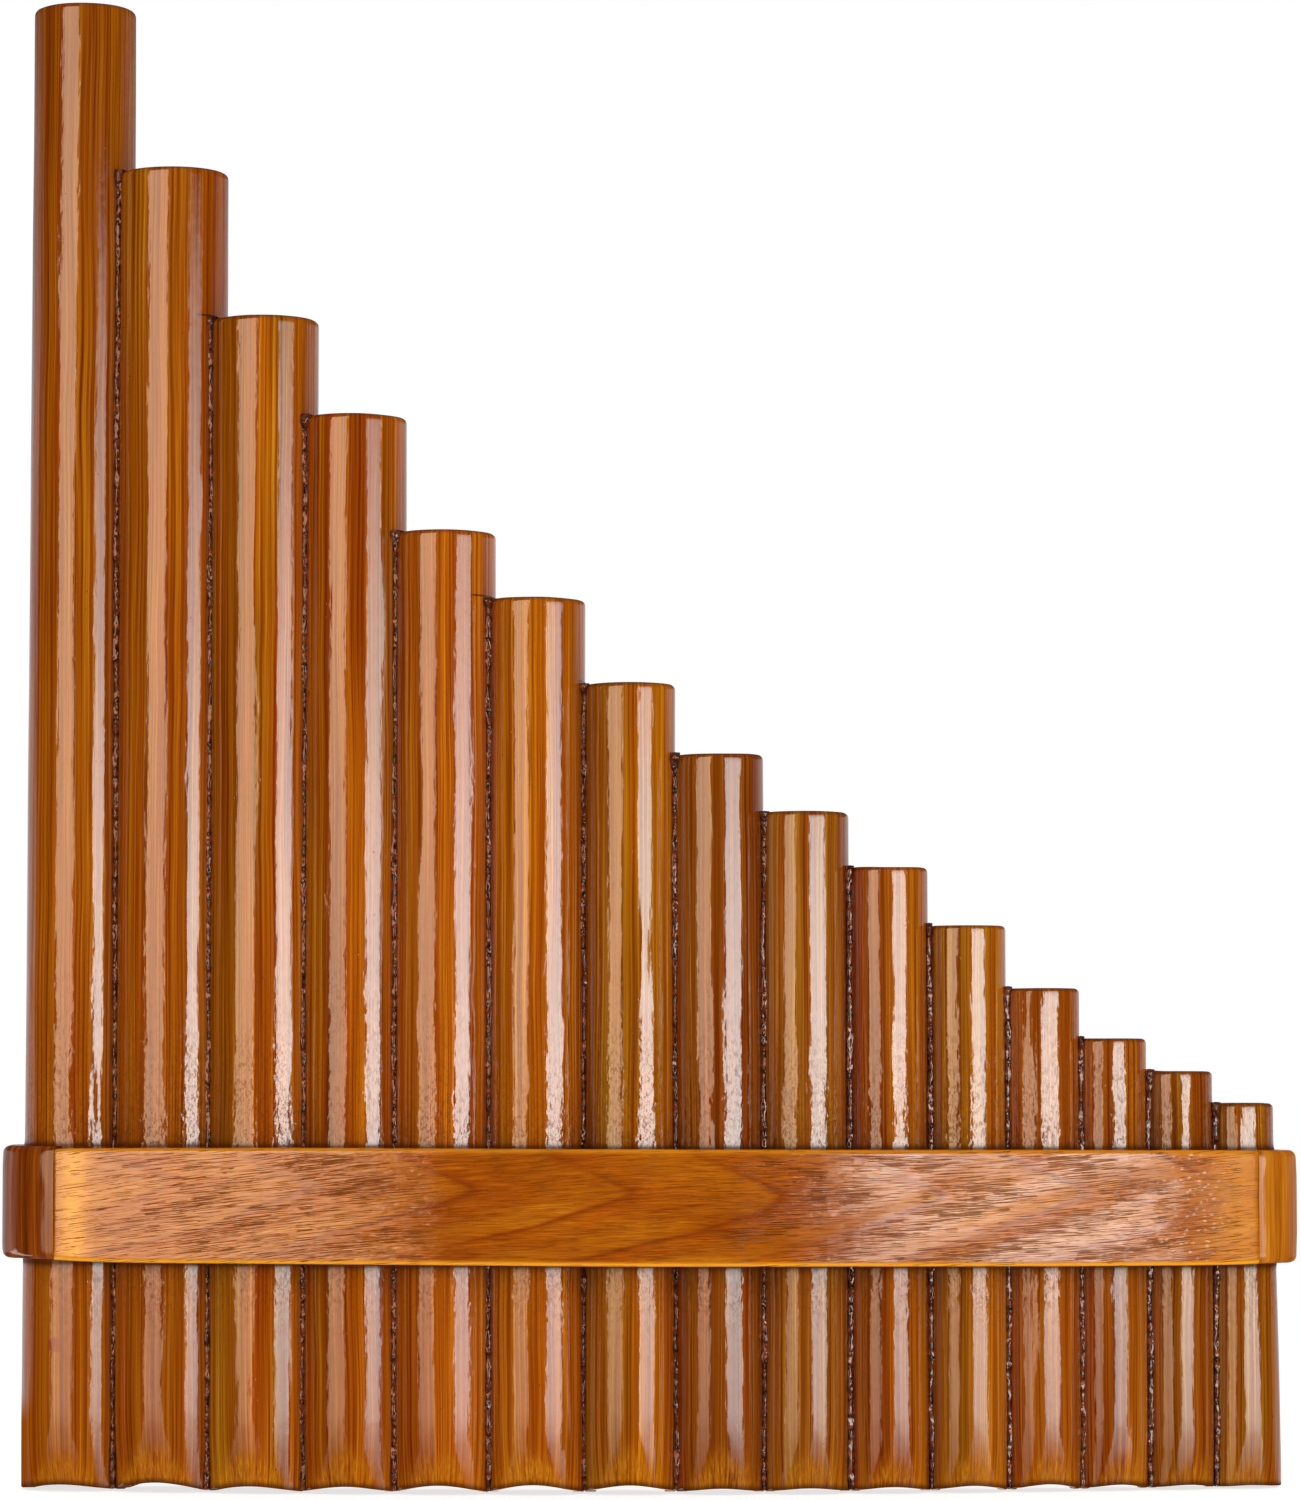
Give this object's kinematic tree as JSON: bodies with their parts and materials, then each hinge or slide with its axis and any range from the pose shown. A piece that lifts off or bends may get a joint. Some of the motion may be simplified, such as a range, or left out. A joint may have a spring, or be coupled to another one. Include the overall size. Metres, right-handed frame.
{
  "type": "pan flute",
  "caption": "Curved bamboo pan flute: stepped row of glued varnished canes with rounded blowing lips, a wooden binding band with end blocks, and sliding cork tuning stoppers.",
  "frame": {"origin": "centre of the bottom of the bounding box, on the plane of the blowing ends", "axes": "+Z along the pipes from the blowing ends to the far ends; +X along the row from the longest pipe to the shortest; -Y the outer, convex side that faces the viewer"},
  "size_m": [0.2598, 0.0414, 0.2985],
  "materials": {
    "bamboo": "orange-brown varnished bamboo, gloss",
    "cork": "natural cork, matt",
    "band_wood": "open-pored wood, satin varnish, grain along the strip",
    "end_wood_dark": "dark brown wood, satin varnish, upright grain",
    "end_wood_light": "yellow-brown wood, satin varnish, upright grain",
    "glue": "dark brown hardened glue, gloss, beaded"
  },
  "bodies": {
    "flute": {"pipe_01": "bamboo", "pipe_02": "bamboo", "pipe_03": "bamboo", "pipe_04": "bamboo", "pipe_05": "bamboo", "pipe_06": "bamboo", "pipe_07": "bamboo", "pipe_08": "bamboo", "pipe_09": "bamboo", "pipe_10": "bamboo", "pipe_11": "bamboo", "pipe_12": "bamboo", "pipe_13": "bamboo", "pipe_14": "bamboo", "pipe_15": "bamboo", "band_front": "band_wood", "band_back": "band_wood", "band_end_left": "end_wood_dark", "band_end_right": "end_wood_light", "glue_seam_01": "glue", "glue_seam_02": "glue", "glue_seam_03": "glue", "glue_seam_04": "glue", "glue_seam_05": "glue", "glue_seam_06": "glue", "glue_seam_07": "glue", "glue_seam_08": "glue", "glue_seam_09": "glue", "glue_seam_10": "glue", "glue_seam_11": "glue", "glue_seam_12": "glue", "glue_seam_13": "glue", "glue_seam_14": "glue"},
    "cork_01": {"stopper_01": "cork"},
    "cork_02": {"stopper_02": "cork"},
    "cork_03": {"stopper_03": "cork"},
    "cork_04": {"stopper_04": "cork"},
    "cork_05": {"stopper_05": "cork"},
    "cork_06": {"stopper_06": "cork"},
    "cork_07": {"stopper_07": "cork"},
    "cork_08": {"stopper_08": "cork"},
    "cork_09": {"stopper_09": "cork"},
    "cork_10": {"stopper_10": "cork"},
    "cork_11": {"stopper_11": "cork"},
    "cork_12": {"stopper_12": "cork"},
    "cork_13": {"stopper_13": "cork"},
    "cork_14": {"stopper_14": "cork"},
    "cork_15": {"stopper_15": "cork"}
  },
  "joints": [
    {"name": "stopper_01_tune", "type": "slide", "parent": "flute", "child": "cork_01", "axis": [0, 0, 1], "range_m": [-0.004, 0.004]},
    {"name": "stopper_02_tune", "type": "slide", "parent": "flute", "child": "cork_02", "axis": [0, 0, 1], "range_m": [-0.0038, 0.0038]},
    {"name": "stopper_03_tune", "type": "slide", "parent": "flute", "child": "cork_03", "axis": [0, 0, 1], "range_m": [-0.0036, 0.0036]},
    {"name": "stopper_04_tune", "type": "slide", "parent": "flute", "child": "cork_04", "axis": [0, 0, 1], "range_m": [-0.0035, 0.0035]},
    {"name": "stopper_05_tune", "type": "slide", "parent": "flute", "child": "cork_05", "axis": [0, 0, 1], "range_m": [-0.0033, 0.0033]},
    {"name": "stopper_06_tune", "type": "slide", "parent": "flute", "child": "cork_06", "axis": [0, 0, 1], "range_m": [-0.0031, 0.0031]},
    {"name": "stopper_07_tune", "type": "slide", "parent": "flute", "child": "cork_07", "axis": [0, 0, 1], "range_m": [-0.0029, 0.0029]},
    {"name": "stopper_08_tune", "type": "slide", "parent": "flute", "child": "cork_08", "axis": [0, 0, 1], "range_m": [-0.0027, 0.0027]},
    {"name": "stopper_09_tune", "type": "slide", "parent": "flute", "child": "cork_09", "axis": [0, 0, 1], "range_m": [-0.0026, 0.0026]},
    {"name": "stopper_10_tune", "type": "slide", "parent": "flute", "child": "cork_10", "axis": [0, 0, 1], "range_m": [-0.0024, 0.0024]},
    {"name": "stopper_11_tune", "type": "slide", "parent": "flute", "child": "cork_11", "axis": [0, 0, 1], "range_m": [-0.0022, 0.0022]},
    {"name": "stopper_12_tune", "type": "slide", "parent": "flute", "child": "cork_12", "axis": [0, 0, 1], "range_m": [-0.002, 0.002]},
    {"name": "stopper_13_tune", "type": "slide", "parent": "flute", "child": "cork_13", "axis": [0, 0, 1], "range_m": [-0.0019, 0.0019]},
    {"name": "stopper_14_tune", "type": "slide", "parent": "flute", "child": "cork_14", "axis": [0, 0, 1], "range_m": [-0.0017, 0.0017]},
    {"name": "stopper_15_tune", "type": "slide", "parent": "flute", "child": "cork_15", "axis": [0, 0, 1], "range_m": [-0.0015, 0.0015]}
  ]
}
